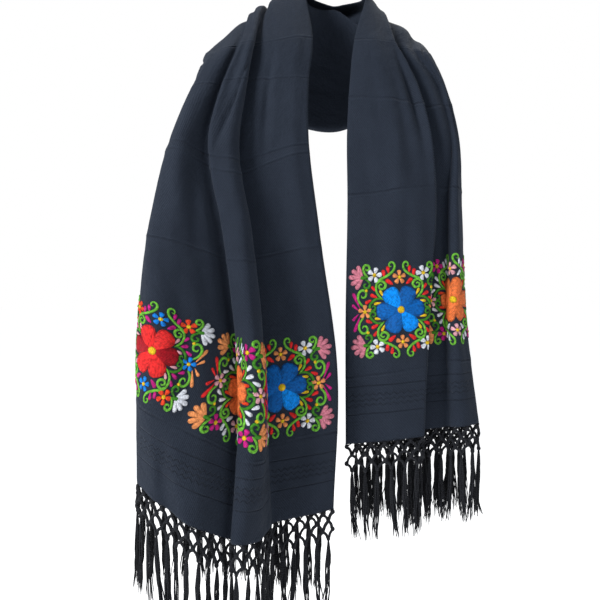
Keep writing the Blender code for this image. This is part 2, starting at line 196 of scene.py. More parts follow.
# degrees round the neck, for each section behind the fronts
wrapTurns = {"crest": 0.0, "shoulder": 30.0, "blade": 50.0, "back": 69.0, "nape": 90.0}
rightShoulder = {"neck": (-44.0, 6.0, 83.0), "tip": (-195.0, 12.0, -45.0)}
leftShoulder = {"neck": (40.0, 6.0, 72.0), "tip": (158.0, 30.0, -62.0)}
back = {"neck": (0.0, 60.0, 84.0), "tip": (0.0, 98.0, -125.0), "bow": 14.0, "roll": 0.35}
swag = {
    "folds": 12, "reach": 0.87, "lift": 14.0, "foldLift": 24.0, "round": 6.0, "uneven": 0.3, "beat": 1.7,
    # the plain turn under the last swag fold, then the layer that lies on the back
    "turnShare": (0.94, 0.965, 0.985, 0.985), "turnLift": (17.0, 13.0, 8.0, 2.0),
    "innerShare": (0.96, 0.03), "innerLift": (-4.0, -8.0),
}
# one row for each fold line: how much it is rounded, and its x,y in each section;
# at the crest, how far down the shoulder it lies, as a share, and its lift
rightFolds = """
fold       round        hem       band      waist      elbow      chest  collarbone     crest
edge           0   -11,-148    -5,-150   -31,-138   -46,-126   -46,-104     -40,-64   0.00,14
aMid          90   -50,-155   -50,-157   -72,-146   -86,-134   -82,-114     -68,-76   0.14,27
aOut          90   -84,-154   -88,-157  -106,-149  -124,-133  -116,-113    -100,-75   0.26,33
aEnd           5   -98,-157  -112,-158  -131,-148  -150,-130  -143,-106    -129,-66  0.355,19
bWall          5  -101,-172  -106,-172  -126,-160  -146,-142  -139,-116    -126,-74   0.35,29
bRight         9  -113,-204  -104,-214  -124,-188  -145,-158  -137,-128    -124,-84  0.345,32
bCrown        10  -130,-222  -114,-228  -136,-204  -156,-172  -146,-139    -131,-92   0.39,37
bGroove        9  -141,-226  -126,-230  -149,-204  -170,-168  -160,-129    -137,-86   0.43,32
bLeft          7  -152,-221  -141,-221  -165,-198  -188,-170  -174,-138    -144,-88   0.48,36
tuckIn         6  -148,-205  -135,-197  -161,-178  -186,-150  -174,-120    -147,-76   0.50,29
cStart         6  -157,-206  -147,-199  -172,-180  -193,-150  -179,-118    -151,-74   0.53,27
c1            70  -174,-226  -165,-223  -190,-204  -205,-168  -190,-132    -160,-84   0.60,33
c2            70  -206,-248  -205,-253  -222,-220  -222,-176  -206,-134    -174,-82   0.73,29
c3            24  -228,-230  -244,-261  -246,-216  -234,-170  -217,-126    -188,-74   0.86,28
c4            24  -250,-236  -262,-248  -257,-204  -240,-160  -223,-116    -204,-64   0.96,26
sideFront     11  -279,-205  -271,-226  -264,-186  -243,-146  -226,-104    -213,-52   1.04,19
sideBack      11  -268,-174  -264,-198  -257,-160  -237,-124   -220,-84    -208,-36    1.03,4
k1            60  -232,-158  -232,-170  -228,-140  -212,-106   -198,-72    -180,-32    0.88,3
k2            60  -180,-144  -180,-150  -178,-130  -170,-104   -160,-74    -148,-36    0.70,5
kFoldOut       7   -82,-139   -82,-141   -90,-126   -98,-104   -108,-78    -114,-40    0.52,4
kFoldIn        7  -110,-112  -112,-114  -120,-104   -126,-88   -118,-64    -104,-36    0.44,3
k3            60    -70,-98   -70,-102    -80,-94    -90,-78    -90,-58     -86,-38    0.28,1
backEdge       0    -22,-96   -20,-100    -40,-92    -52,-78    -52,-60     -52,-42    0.05,0
"""
leftFolds = """
fold       round       hem      band     waist     elbow    chest  collarbone     crest
edge           0    8,-120    8,-120   11,-115   11,-108   16,-93      28,-62   0.00,14
aMid          90   60,-127   66,-128   68,-124   60,-117  58,-103      52,-71   0.10,16
aGroove       14  104,-124  108,-125  116,-120  119,-100  104,-82      76,-60   0.17,14
aEdge          7  127,-118  135,-117  146,-111  140,-104  122,-86      90,-62  0.235,18
tuckUpper      6  104,-107  110,-107  120,-102   120,-91  105,-73      79,-52   0.20,12
tuckLower      6   104,-93   110,-94   120,-90   120,-80  105,-61      80,-44    0.21,6
dStart         6   138,-94   141,-94   150,-88   146,-81  128,-66      95,-47   0.30,11
dMid          18   155,-90   156,-90   160,-85   160,-86  142,-72     107,-51   0.45,28
eFoot          5   164,-86   163,-86   166,-83   172,-72  156,-56     120,-39   0.59,23
eEdge          8  170,-106  166,-108   170,-98   175,-82  159,-66     126,-45   0.67,31
eMid          16  188,-106  179,-107   180,-96   181,-79  165,-63     137,-42   0.82,27
sideFront      9   213,-88   192,-84   189,-76   187,-62  172,-46     150,-28   0.97,18
sideBack       9   211,-68   191,-66   187,-58   184,-46  169,-31     147,-16    0.98,1
h1            60   160,-76   150,-76   150,-68   150,-58  138,-41     124,-22    0.70,1
h1End          6    25,-89    25,-89    30,-85    38,-83   46,-64      66,-34    0.50,1
h2Start        6    25,-76    25,-76    30,-72    38,-71   46,-53      66,-23   0.50,-6
h2Mid         60   115,-65   110,-65   108,-59   106,-51   98,-36      98,-14   0.74,-4
h2End          6   200,-55   184,-54   178,-48   174,-35  158,-20      134,-5  0.88,-12
h3Start        6   200,-42   184,-41   177,-35   172,-23   156,-8       131,4  0.88,-21
h3a           60   130,-50   120,-50   118,-45   116,-37  108,-23      100,-3  0.66,-20
h3b           60    88,-54    85,-54    86,-50    86,-43   84,-29       82,-7  0.50,-20
h3c           40    70,-56    69,-56    71,-53    73,-45   72,-31       69,-9  0.36,-20
backEdge       0    50,-58    50,-58    54,-56    56,-48   58,-34      56,-11  0.20,-20
"""
# heights of each section at some of the folds
rightHeights = """
section     edge  bRight  cStart  sideFront  backEdge
hem         -717    -745    -741       -661      -712
band        -529    -549    -538       -473      -530
waist       -318    -330    -329       -310      -322
elbow       -186    -199    -198       -190      -186
chest       -100    -115    -116       -118       -98
collarbone    -6     -16     -25        -54       -10
"""
leftHeights = """
section     edge  aEdge  sideFront  sideBack  h1End  h2End  h3Start  backEdge
hem         -631   -619       -605      -605   -612   -600     -600      -604
band        -436   -427       -422      -422   -428   -421     -421      -427
waist       -276   -272       -270      -270   -276   -270     -270      -272
elbow       -167   -164       -164      -164   -164   -164     -164      -164
chest        -93    -92        -91       -91    -84    -88      -90       -80
collarbone    -6    -16        -30       -34     -9    -44      -52       -24
"""


def readTable(text):
    lines = [line.split() for line in text.strip().splitlines()]
    return [dict(zip(lines[0], row)) for row in lines[1:]]


def column(rows, name):
    # one column of a table, as numbers or as pairs of them
    return np.array([row[name].split(",") for row in rows], dtype=float).squeeze()


def lengthAlong(points):
    # distance from the first point of each row, along the row
    run = np.cumsum(np.linalg.norm(np.diff(points, axis=-2), axis=-1), axis=-1)
    return np.concatenate([np.zeros_like(run[..., :1]), run], axis=-1)


def frontSections(folds, heights):
    names = [row["fold"] for row in folds]
    sections = {}
    for row in readTable(heights):
        section = row.pop("section")
        plan = column(folds, section)
        run = lengthAlong(plan)
        known = run[[names.index(fold) for fold in row]]
        z = np.interp(run, known, [float(value) for value in row.values()])
        sections[section] = np.column_stack([plan, z])
    return sections


def swagFolds(count):
    index = np.arange(swag["folds"])
    uneven = 1.0 + swag["uneven"] * np.sin(swag["beat"] * index)
    share = index / (swag["folds"] - 1) * swag["reach"]
    lift = swag["lift"] + swag["foldLift"] * uneven * (index % 2)
    inner = count - len(share) - len(swag["turnShare"])
    innerLift = [swag["innerLift"][0]] + [swag["innerLift"][1]] * (inner - 1)
    share = np.concatenate([share, swag["turnShare"], np.linspace(*swag["innerShare"], inner)])
    return share, np.concatenate([lift, swag["turnLift"], innerLift])


def wrapSection(folds, shoulder, turn):
    angle = np.radians(turn)
    swagShare, swagLift = swagFolds(len(folds))
    towardBack = np.sin(angle) ** 2
    share, lift = column(folds, "crest").T
    share += (swagShare - share) * towardBack
    lift += (swagLift - lift) * towardBack

    def swing(key):
        side = np.array(shoulder[key])
        rear = np.array(back[key])
        height = side[2] + (rear[2] - side[2]) * towardBack
        return np.array([side[0] * np.cos(angle), side[1] + (rear[1] - side[1]) * np.sin(angle), height])

    neck, tip = swing("neck"), swing("tip")
    slope = np.array(shoulder["tip"]) - np.array(shoulder["neck"])
    up = np.array([-slope[2], 0.0, slope[0]]) * np.sign(slope[0]) / np.hypot(slope[0], slope[2])
    up = up * np.cos(angle) + np.array([0.0, 1.0, 0.0]) * np.sin(angle)
    points = neck + share[:, None] * (tip - neck) + lift[:, None] * up
    points[:, 1] += back["bow"] * np.sin(angle) * np.sin(np.pi * share)
    points[:, 2] += back["roll"] * towardBack * lift * np.clip(1.0 - 2.0 * share, 0.0, 1.0)
    return points


def sideRows(folds, heights, shoulder, places):
    # rows of place along the cloth, corners, and how much each corner is rounded
    rounds = column(folds, "round")
    front = frontSections(folds, heights)
    rows = [(places[name], front[name], rounds) for name in frontNames]
    for name, turn in wrapTurns.items():
        if name in places:
            wrapRounds = rounds if name == "crest" else np.full(len(folds), swag["round"])
            rows.append((places[name], wrapSection(folds, shoulder, turn), wrapRounds))
    return rows


def smoothBetween(places, values, at):
    index = int(np.clip(np.searchsorted(places, at) - 1, 0, len(places) - 2))
    step = places[index + 1] - places[index]
    rise = (values[index + 1] - values[index]) / step

    def slope(i):
        if i in (0, len(places) - 1):
            return rise
        before = (values[i] - values[i - 1]) / (places[i] - places[i - 1])
        after = (values[i + 1] - values[i]) / (places[i + 1] - places[i])
        share = (places[i + 1] - places[i]) / (places[i + 1] - places[i - 1])
        return before * share + after * (1.0 - share)

    t = (at - places[index]) / step
    start, end = slope(index), slope(index + 1)
    return ((1 + 2 * t) * (1 - t) ** 2 * values[index] + t * (1 - t) ** 2 * step * start
            + t * t * (3 - 2 * t) * values[index + 1] + t * t * (t - 1) * step * end)


sectionRows = sideRows(readTable(rightFolds), rightHeights, rightShoulder, alongRight)
sectionRows += reversed(sideRows(readTable(leftFolds), leftHeights, leftShoulder, alongLeft))
sectionPlaces, sectionCorners, sectionRounds = (np.array(values) for values in zip(*sectionRows))


def flatRun(start, end):
    longest = np.linalg.norm(end - start, axis=1).max()
    count = int(np.clip(longest / cloth["flatStep"], *cloth["flatCounts"]))
    return [start + (end - start) * k / count for k in range(count)]


def acrossPoints(ats):
    # points across the cloth in each row: even steps on the flat runs, finer ones on the folds
    corners = np.array([smoothBetween(sectionPlaces, sectionCorners, at) for at in ats])
    rounds = np.array([smoothBetween(sectionPlaces, sectionRounds, at) for at in ats])
    legs = np.diff(corners, axis=1)
    lengths = np.linalg.norm(legs, axis=2)
    columns = []
    start = corners[:, 0]
    for i in range(1, corners.shape[1] - 1):
        toBack = -legs[:, i - 1] * np.minimum(0.5, rounds[:, i] / lengths[:, i - 1])[:, None]
        toAhead = legs[:, i] * np.minimum(0.5, rounds[:, i] / lengths[:, i])[:, None]
        columns += flatRun(start, corners[:, i] + toBack)
        arc = (np.linalg.norm(toBack, axis=1) + np.linalg.norm(toAhead, axis=1)).max()
        count = int(np.clip(arc / cloth["foldStep"], *cloth["foldCounts"]))
        columns += [corners[:, i] + (1 - k / count) ** 2 * toBack + (k / count) ** 2 * toAhead
                    for k in range(count)]
        start = corners[:, i] + toAhead
    columns += flatRun(start, corners[:, -1]) + [corners[:, -1]]
    return evenColumns(np.array(columns).transpose(1, 0, 2))


def evenColumns(points):
    # the steps of each row are evened out a little, so that no two columns meet
    run = lengthAlong(points)
    steps = np.diff(run, axis=1)
    usual = np.maximum(steps.mean(axis=0), 0.5 * cloth["foldStep"])
    steps = (1.0 - cloth["evened"]) * steps + cloth["evened"] * usual
    wanted = np.concatenate([np.zeros((len(run), 1)), np.cumsum(steps, axis=1)], axis=1)
    wanted *= run[:, -1:] / wanted[:, -1:]
    return np.array([[np.interp(w, r, p[:, k]) for k in range(3)]
                     for w, r, p in zip(wanted, run, points)]).transpose(0, 2, 1)


# soft ridges and troughs, and the sharp lines where the shawl lay folded for storage
creases = {
    # lines where it lay folded: place along the cloth from the right hem, bend and depth
    "storage": ((106.0, 4.0, 0.8), (372.0, 6.0, 1.0), (500.0, 13.0, 1.3), (517.0, 9.0, -0.8),
                (640.0, -4.0, 0.5), (713.0, 4.0, 0.6), (1250.0, 5.0, 0.7), (1377.0, -5.0, 0.9),
                (1515.0, 6.0, 1.0), (1782.0, 4.0, 0.8)),
    "reach": 4.0, "bendLength": 58.0, "lineHalf": 2.0, "lineShade": 0.45, "lineDepth": 4.5,
    # the lip beside a line, which is raised and painted paler as a highlight, how far off it is, and the
    # patches where lines show
    "lip": 0.8, "lipAway": 1.7, "patchScale": 14.0, "patchGain": 2.2, "patchLess": 0.6,
    # how much the soft folds are raised, and how far and how often they wander sideways
    "ridges": 1.5, "wander": 3.0, "wanderLength": 45.0,
    # small crumples: height, size across and along, and seed
    "crumples": ((0.7, 26.0, 60.0, 1.7), (0.22, 8.0, 13.0, 5.1)),
}
# across and along: middle of the ridge; reach: half its length; lean: how far it drifts sideways
softFolds = """
across  along  reach  width  depth   lean
    24    150    210     15    2.0   0.02
    62    330    170     17   -2.2   0.05
    30    470    130     15    2.2  -0.04
   102    596     72      9   -4.4   0.06
    44    650     90     18    2.2   0.05
   184    250    170      9    1.6   0.02
   150    470    120     10   -1.6   0.02
   290    110    150     20    3.0   0.05
   330    210    140     18   -3.2  -0.04
   372    330    170     20    3.2   0.03
   300    420    150     18   -3.0   0.05
   345    520    120     17    2.8   0.04
   400    140    140     18    2.6   0.02
   330     60     70     15    2.2   0.10
   420    620    110     14   -2.4   0.04
   380    700     80     12    2.2   0.03
   480    300    200     22    3.0   0.03
   560    200    200     22   -3.0  -0.03
   640    400    200     20    2.6   0.02
    26   1750    130     15   -2.0   0.03
    70   1660    160     16    2.2  -0.04
    40   1540    140     15   -2.2   0.05
    84   1480    120     14    2.4  -0.05
    50   1380    110     14   -2.2   0.04
   110   1590    150     12    2.0   0.04
   100   1420    100     10   -1.8   0.03
   205   1640    150     10    1.8   0.02
   250   1730    110     11   -2.0   0.03
   240   1560    140     11    2.2  -0.03
   255   1450    120     10   -2.0   0.03
   330   1650    180     18    2.4   0.02
   460   1600    200     20   -2.6   0.02
   620   1700    180     20    2.6   0.03
   120    900    120      8    1.6   0.08
   200   1000    130      8   -1.6  -0.08
   300    960    120     10    1.8   0.10
   231    594     58      6   -4.4  -0.17
   249    480     60      4   -1.4   0.02
   123   1370     75      6   -5.0   0.06
   106   1370     80     10    1.6   0.06
   256   1350     90      7   -4.8   0.02
"""


def relief(across, along):
    # height of the small forms over the smooth surface
    height = np.zeros_like(across)
    for place, bend, depth in creases["storage"]:
        line = place + bend * np.cos(across / creases["bendLength"])
        height += depth * np.exp(-np.abs(along - line) / creases["reach"])
    for row in readTable(softFolds):
        fold = {key: float(value) for key, value in row.items()}
        up = along - fold["along"]
        aside = across - fold["across"] - fold["lean"] * up
        aside = aside - creases["wander"] * np.sin(up / creases["wanderLength"])
        height += creases["ridges"] * fold["depth"] * np.exp(-(aside / fold["width"]) ** 2
                                                             - (up / fold["reach"]) ** 2)
    crumpled = [sum(high * noise.noise(Vector((u / wide, w / tall, seed)))
                    for high, wide, tall, seed in creases["crumples"])
                for u, w in zip(across.ravel(), along.ravel())]
    return height + np.array(crumpled).reshape(across.shape)


def unit(vectors):
    return vectors / np.maximum(np.linalg.norm(vectors, axis=-1, keepdims=True), 1e-9)


def normalsOf(grid):
    before = np.concatenate([grid[:1], grid[:-1]])
    after = np.concatenate([grid[1:], grid[-1:]])
    return unit(np.cross(after - before, np.gradient(grid, axis=1)))


class Stretch:
    # one stretch of the cloth between two places along it
    def __init__(self, start, end):
        rows = int(round((end - start) / cloth["rowStep"]))
        step = (end - start) / rows
        extra = 2    # rows past the ends that only shape the normals, so that the stretches meet
        ats = np.clip(start + step * np.arange(-extra, rows + extra + 1), 0.0, cloth["end"])
        smooth = acrossPoints(ats)
        run = lengthAlong(smooth)
        across = run / run[:, -1:] * cloth["width"]
        along = np.repeat(ats[:, None], smooth.shape[1], axis=1)
        raised = smooth + normalsOf(smooth) * relief(across, along)[:, :, None]
        shown = slice(extra, extra + rows + 1)
        self.grid, self.normal = raised[shown], normalsOf(raised)[shown]
        self.across, self.along = across[shown], along[shown]


def addLayer(mesh, name, values):
    layer = mesh.uv_layers.new(name=name)
    index = np.empty(len(mesh.loops), dtype=np.int32)
    mesh.loops.foreach_get("vertex_index", index)
    layer.data.foreach_set("uv", values[index].astype(np.float32).ravel())


def newObject(name, vertices, faces, uvs=None, slots=None, materials=()):
    mesh = bpy.data.meshes.new(name)
    mesh.from_pydata((np.asarray(vertices) * mm).tolist(), [], [tuple(map(int, f)) for f in faces])
    for material in materials:
        mesh.materials.append(material)
    if slots is not None:
        mesh.polygons.foreach_set("material_index", np.asarray(slots, dtype=np.int32))
    if uvs is not None:
        addLayer(mesh, "cloth", np.asarray(uvs) * mm)
    mesh.shade_smooth()
    return inScene(name, mesh)


def gridFaces(rows, columns, first=0, flip=False):
    i, j = np.meshgrid(np.arange(rows - 1), np.arange(columns - 1), indexing="ij")
    a = (i * columns + j + first).ravel()
    faces = np.column_stack([a, a + columns, a + columns + 1, a + 1])
    return faces[:, ::-1] if flip else faces


def shellObject(name, stretch, material):
    rows, columns = stretch.grid.shape[:2]
    offset = stretch.normal * cloth["shell"] / 2
    outer = (stretch.grid + offset).reshape(-1, 3)
    inner = (stretch.grid - offset).reshape(-1, 3)
    under = rows * columns
    rim = [i * columns for i in range(rows)] + [(rows - 1) * columns + j for j in range(1, columns)]
    rim += [i * columns + columns - 1 for i in range(rows - 2, -1, -1)] + list(range(columns - 2, 0, -1))
    edge = [(a, a + under, b + under, b) for a, b in zip(rim, rim[1:] + rim[:1])]
    faces = np.concatenate([gridFaces(rows, columns), gridFaces(rows, columns, under, True), edge])
    uvs = np.column_stack([stretch.across.ravel(), stretch.along.ravel()])
    return newObject(name, np.concatenate([outer, inner]), faces, np.tile(uvs, (2, 1)), materials=[material])


# black wool twill, with woven zigzags between two lines above each hem
twill = {
    # the dark twill, and a paler tone that the paint reaches through random unevenness and through a painted
    # highlight on the lips of the pressed lines
    "colour": (0.0042, 0.0070, 0.0140), "worn": (0.0172, 0.0240, 0.0380), "roughness": 0.88,
    "specular": 0.19, "sheen": 0.05, "sheenRoughness": 0.4, "sheenTint": (0.62, 0.72, 0.9, 1.0),
    # in metres: pitch of the diagonal, depth of the weave, and the woven band
    "pitch": 0.0034, "slant": 0.8, "weaveDepth": 0.0003,
    "zigzagRows": (0.0555, 0.063, 0.0705), "zigzagPeriod": 0.0098, "zigzagReach": 0.0042,
    "lineRows": (0.0425, 0.0835), "lineHalf": 0.0012, "reliefDepth": 0.0011,
    # how fine each unevenness is, and how much of it shows in the colour and in the height; the woven rows
    # are also painted darker in the colour, as painted shade in their grooves
    "slubScale": 420.0, "wideScale": 22.0, "rumpleScale": 62.0,
    "paleWide": 0.5, "paleSlub": 1.25, "paleDiagonal": 0.22, "wovenShade": 0.4, "paleLess": 0.36,
    "highDiagonal": 0.6, "highSlub": 1.6, "highRumple": 7.0,
}


def storageLines(finish, place, across, along):
    # pressed lines: a groove with a lip, stronger in some places than in others; in the colour the groove is
    # painted shade and the lip a painted highlight
    patch = finish.noise(place, creases["patchScale"], 2.0) * creases["patchGain"] - creases["patchLess"]
    pressed = 0.0
    for spot, bend, _ in creases["storage"]:
        swing = (across / (creases["bendLength"] * mm)).maths("COSINE") * (bend * mm)
        apart = (along - swing - spot * mm) / (creases["lineHalf"] * mm)
        pressed = apart.stripe() - (apart - creases["lipAway"]).stripe() * creases["lip"] + pressed
    return pressed * patch.within()


def wovenBand(across, along):
    fromHem = along.maths("MINIMUM", cloth["end"] * mm - along)
    tooth = (across / twill["zigzagPeriod"]).maths("FRACT")
    tooth = ((tooth - 0.5).maths("ABSOLUTE") - 0.25) * (2 * twill["zigzagReach"])
    woven = 0.0
    for row in twill["zigzagRows"]:
        woven = ((fromHem - tooth - row) / twill["lineHalf"]).stripe() + woven
    for row in twill["lineRows"]:
        woven = ((fromHem - row) / twill["lineHalf"]).stripe() + woven
    return woven


def twillFinish(name):
    finish = Finish(name, Roughness=twill["roughness"], Specular_IOR_Level=twill["specular"],
                    Sheen_Weight=twill["sheen"], Sheen_Roughness=twill["sheenRoughness"],
                    Sheen_Tint=twill["sheenTint"])
    place, across, along = finish.uv()
    diagonal = ((across - along * twill["slant"]) * (2 * math.pi / twill["pitch"])).maths("SINE")
    slub = finish.noise(place, twill["slubScale"])
    wide = finish.noise(place, twill["wideScale"])
    rumple = finish.noise(place, twill["rumpleScale"])
    woven = wovenBand(across, along)
    pressed = storageLines(finish, place, across, along)
    # the colour: random pale tone and the twill grain, with painted shade in the woven rows and in the
    # pressed grooves, and a painted highlight on the lips beside the pressed lines
    paleness = (wide * twill["paleWide"] + slub * twill["paleSlub"] + diagonal * twill["paleDiagonal"]
                - woven * twill["wovenShade"] - pressed * creases["lineShade"] - twill["paleLess"])
    finish.paint(paleness.within(), twill["colour"], twill["worn"])
    height = (diagonal * twill["highDiagonal"] + slub * twill["highSlub"] + rumple * twill["highRumple"]
              - woven * (twill["reliefDepth"] / twill["weaveDepth"]) - pressed * creases["lineDepth"])
    finish.bump(height, twill["weaveDepth"])
    return finish.material


stretches = {
    "right_front": Stretch(0.0, alongRight["crest"]),
    "neck_wrap": Stretch(alongRight["crest"], alongLeft["crest"]),
    "left_front": Stretch(alongLeft["crest"], cloth["end"]),
}
clothPieces = {}
for node, stretch in stretches.items():
    clothPieces[node] = shellObject(node + "_cloth", stretch, twillFinish(node + "_twill_cloth"))
    print(node, "cloth", stretch.grid.shape)

# how far the warp leans toward the neck, and how much the rows spread, at places across the cloth
bandLean = {
    "right": {"across": (196, 255, 325, 390, 450), "lean": (0.0, 0.38, 0.37, 0.19, 0.1),
              "spread": (1.0, 1.0, 1.04, 1.08, 1.08), "from": 142.0, "middle": 193.0},
    "left": {"across": (0, 775), "lean": (0.04, 0.04),
             "spread": (1.02, 1.02), "from": 193.0, "middle": 193.0},
}
bandReach = {"up": 320.0, "step": 2.0}


class Band:
    # places on the outside of a front, by distance from the neck selvedge and from the hem
    def __init__(self, side):
        stretch = stretches[side + "_front"]
        self.bent = bandLean[side]
        rows = stretch.along[:, 0] if side == "right" else cloth["end"] - stretch.along[:, 0]
        order = np.argsort(rows)
        order = order[rows[order] <= bandReach["up"]]
        self.rows = rows[order]
        even = np.arange(0.0, cloth["width"] + bandReach["step"], bandReach["step"])

        def evened(field):
            return np.array([[np.interp(even, stretch.across[i], field[i, :, k]) for k in range(3)]
                             for i in order]).transpose(0, 2, 1)

        self.points = evened(stretch.grid + stretch.normal * cloth["shell"] / 2)
        self.normals = evened(stretch.normal)

    def place(self, across, fromHem, height):
        bent = self.bent
        lean = np.interp(across, bent["across"], bent["lean"])
        spread = np.interp(across, bent["across"], bent["spread"])
        fromHem = bent["middle"] + spread * (fromHem - bent["middle"])
        across = across - lean * (fromHem - bent["from"])
        i = np.clip(np.interp(fromHem, self.rows, np.arange(len(self.rows))), 0, len(self.rows) - 1.001)
        j = np.clip(across / bandReach["step"], 0, self.points.shape[1] - 1.001)
        i0, j0 = i.astype(int), j.astype(int)
        fi, fj = (i - i0)[..., None], (j - j0)[..., None]

        def read(field):
            return ((field[i0, j0] * (1 - fj) + field[i0, j0 + 1] * fj) * (1 - fi)
                    + (field[i0 + 1, j0] * (1 - fj) + field[i0 + 1, j0 + 1] * fj) * fi)

        return read(self.points) + unit(read(self.normals)) * height[..., None]


# embroidery threads, as linear colours
threads = {
    "white": (0.70, 0.73, 0.80), "red": (0.70, 0.022, 0.022), "darkRed": (0.34, 0.004, 0.012),
    "orangeRed": (0.74, 0.055, 0.016), "orange": (0.76, 0.17, 0.045), "peach": (0.80, 0.29, 0.10),
    "blue": (0.0, 0.26, 0.88), "darkBlue": (0.0, 0.105, 0.40), "skyBlue": (0.004, 0.21, 0.72),
    "pink": (0.62, 0.20, 0.27), "palePink": (0.76, 0.38, 0.44), "magenta": (0.50, 0.012, 0.20),
    "yellow": (0.74, 0.49, 0.015), "lightGreen": (0.14, 0.44, 0.04), "darkGreen": (0.045, 0.21, 0.016),
}
# pitch and depth of the stitches in metres; streak and patches by how fine they are; shade makes a darker
# copy of each thread colour, which the paint takes for random mottling and for painted shade between the
# stitch ridges and at the rims of the patches
satin = {"roughness": 0.55, "specular": 0.12, "pitch": 0.0019, "depth": 0.0007, "shade": 0.34,
         "streak": (900.0, 150.0), "patchScale": 260.0, "rimSharp": 5.0, "rimShade": 0.9,
         "paleUneven": 1.9, "ridgeShade": 0.35, "paleLess": 1.4, "highRidge": 0.6, "highPatch": 0.5}


def threadFinish(name, colour):
    finish = Finish("thread_" + name, Roughness=satin["roughness"], Specular_IOR_Level=satin["specular"])
    place, across, along = finish.uv()
    ridge = ((across * (2 * math.pi / satin["pitch"])).maths("SINE") + 1.0) * 0.5
    fine, coarse = satin["streak"]
    streak = finish.node("ShaderNodeCombineXYZ", 0, None, {0: across * fine, 1: along * coarse})
    strand = finish.noise(streak, 1.0)
    patchy = finish.noise(place, satin["patchScale"], 2.0)
    rim = finish.uv("rim")[1].maths("POWER", satin["rimSharp"])
    # the paint: random mottling, painted shade between the stitch ridges, and painted shade at the rims
    # where the patches meet
    paleness = (patchy + strand) * satin["paleUneven"] + ridge * satin["ridgeShade"] - satin["paleLess"]
    paleness = (paleness - rim * satin["rimShade"]).within()
    finish.paint(paleness, [c * satin["shade"] for c in colour], colour)
    finish.bump(ridge * satin["highRidge"] + strand + patchy * satin["highPatch"], satin["depth"])
    return finish.material


threadNames = list(threads)
threadMaterials = [threadFinish(name, colour) for name, colour in threads.items()]

# which thread each form of a motif takes
palettes = {
    "blue": dict(petal="darkBlue", petalAlt="blue", corner="white", small="peach", tulip="pink",
                 flame="magenta", leaf="red", inner="yellow"),
    "orange": dict(petal="orange", petalAlt="orange", corner="magenta", small="palePink", tulip="peach",
                   flame="red", leaf="white", inner="orangeRed"),
    "red": dict(petal="red", petalAlt="darkRed", corner="orangeRed", small="skyBlue", tulip="white",
                flame="peach", leaf="magenta", inner="palePink"),
}
# petals that take the other thread, counted round from the outward one
accents = {("right", "blue"): (5,), ("left", "blue"): (2, 5),
           ("right", "red"): (0, 3), ("left", "red"): (0, 3)}
# motif, its middle across from the neck selvedge and up from the hem, and its size
motifRows = {
    "right": (("blue", 81.5, 183.5, 1.0), ("orange", 234.0, 188.5, 1.07), ("red", 383.5, 194.5, (0.84, 1.0)),
              ("orange", 540.0, 194.0, 1.0), ("blue", 693.0, 193.0, 1.0)),
    "left": (("blue", 81.5, 192.5, 1.0), ("orange", 237.0, 200.0, (0.9, 1.0)), ("red", 387.0, 195.0, 1.0),
             ("orange", 540.0, 193.0, 1.0), ("blue", 693.0, 193.0, 1.0)),
}
motif = {
    "flower": 36.0, "petalWidth": 31.0, "petalFoot": 3.0, "petalTurn": 2.0, "heart": 5.8, "heartHigh": 2.6,
    "corners": (36.5, 51.2), "cornerFlower": 11.2, "cornerTurn": 0.3, "dot": (49.5, 30.0), "dotSize": 2.5,
    "smallFlower": 10.3, "smallUp": 46.5, "smallAside": 52.5,
    "tulipFoot": (54.0, 48.5), "tulipTurn": 5.0, "tulipSpread": 30.0, "tulipLength": 22.0, "tulipWidth": 9.2,
    "tulipShorter": 0.06, "tulipStep": 0.45, "calyxBack": 6.5, "calyx": (11.5, 7.4),
    # a vine's width and height, and a disc's height
    "vine": 3.5, "vineHigh": 1.1, "discHigh": 1.6,
}
# stitched forms: how blunt, how high, points along and across, and whether the stitches run across
forms = {
    "petal": (0.42, 1.9, 14, 11, False), "leaf": (0.5, 1.0, 6, 5, True), "inner": (0.6, 0.9, 6, 5, True),
    "flame": (1.1, 1.1, 8, 5, True), "tulip": (0.6, 1.2, 9, 6, True), "calyx": (0.4, 2.4, 7, 5, True),
    "small": (0.62, 1.3, 6, 5, True),
}
# vines of one quarter of the motif, from the middle outward and up; the others mirror them
vines = (
    ((25, 15.5), (32.6, 24), (34.8, 32), (33, 40), (28, 44.6), (19, 48.6), (9.7, 55), (6.4, 61.7),
     (7.8, 66.6), (11.7, 68), (14.4, 65.2), (13.4, 62), (10.6, 62.6)),
    ((33.5, 38.5), (28.6, 42.4), (22.6, 40.4), (20.4, 35.6), (23.4, 31.4), (28.4, 31.4), (30.4, 35.4),
     (27.4, 37.8), (25.2, 36)),
    ((24.5, 17.3), (35, 17.2), (42.6, 12), (45.4, 5.6), (43.4, 1.2), (38.6, 1.6), (37, 5.4), (39.6, 7.6),
     (41.6, 5.6)),
    ((54.5, 7.5), (60.6, 14.6), (62.3, 23), (58.8, 29.6), (53, 30.4), (49.8, 26.4), (51.4, 21.2),
     (55.8, 20.6), (57.4, 23.8)),
    ((46, 48), (51.6, 55), (53, 62), (49.4, 66), (44.4, 64), (44.4, 59.6), (48.4, 58.8), (49.6, 61.4)),
    ((51, 46.4), (45.8, 42.8), (44, 37.8), (47, 33.6), (51.8, 34.6), (52.4, 38.6), (48.8, 39.4)),
)
darkVines = (2, 5)
# leaves of that quarter: place, angle and length of each, and for each kind its width, what the width
# grows by with the length, and the share of the length that lies behind the place
leaves = {
    "leaf": (1.2, 0.5, 0.5, ((22.5, 52.8, 78, 12), (16.2, 58, 82, 10.5), (15.2, 40.4, 38, 13),
                             (38.6, 32.2, 55, 9.5), (39, 21.8, 25, 11.5), (47.4, 14.2, -25, 10.5))),
    "inner": (5.6, 0.0, 0.5, ((27, 25, 60, 11), (33.6, 11, -6, 11.5))),
    "flame": (5.0, 0.1, 0.0, ((60, 6, 66, 24.5), (62.3, 2.6, 44, 13))),
}


def rounded(x, power, full=1.0, least=0.0):
    # one at nought and down at one either way: the higher the power, the squarer
    return np.sqrt(np.clip(full - x ** power, least, 1.0))


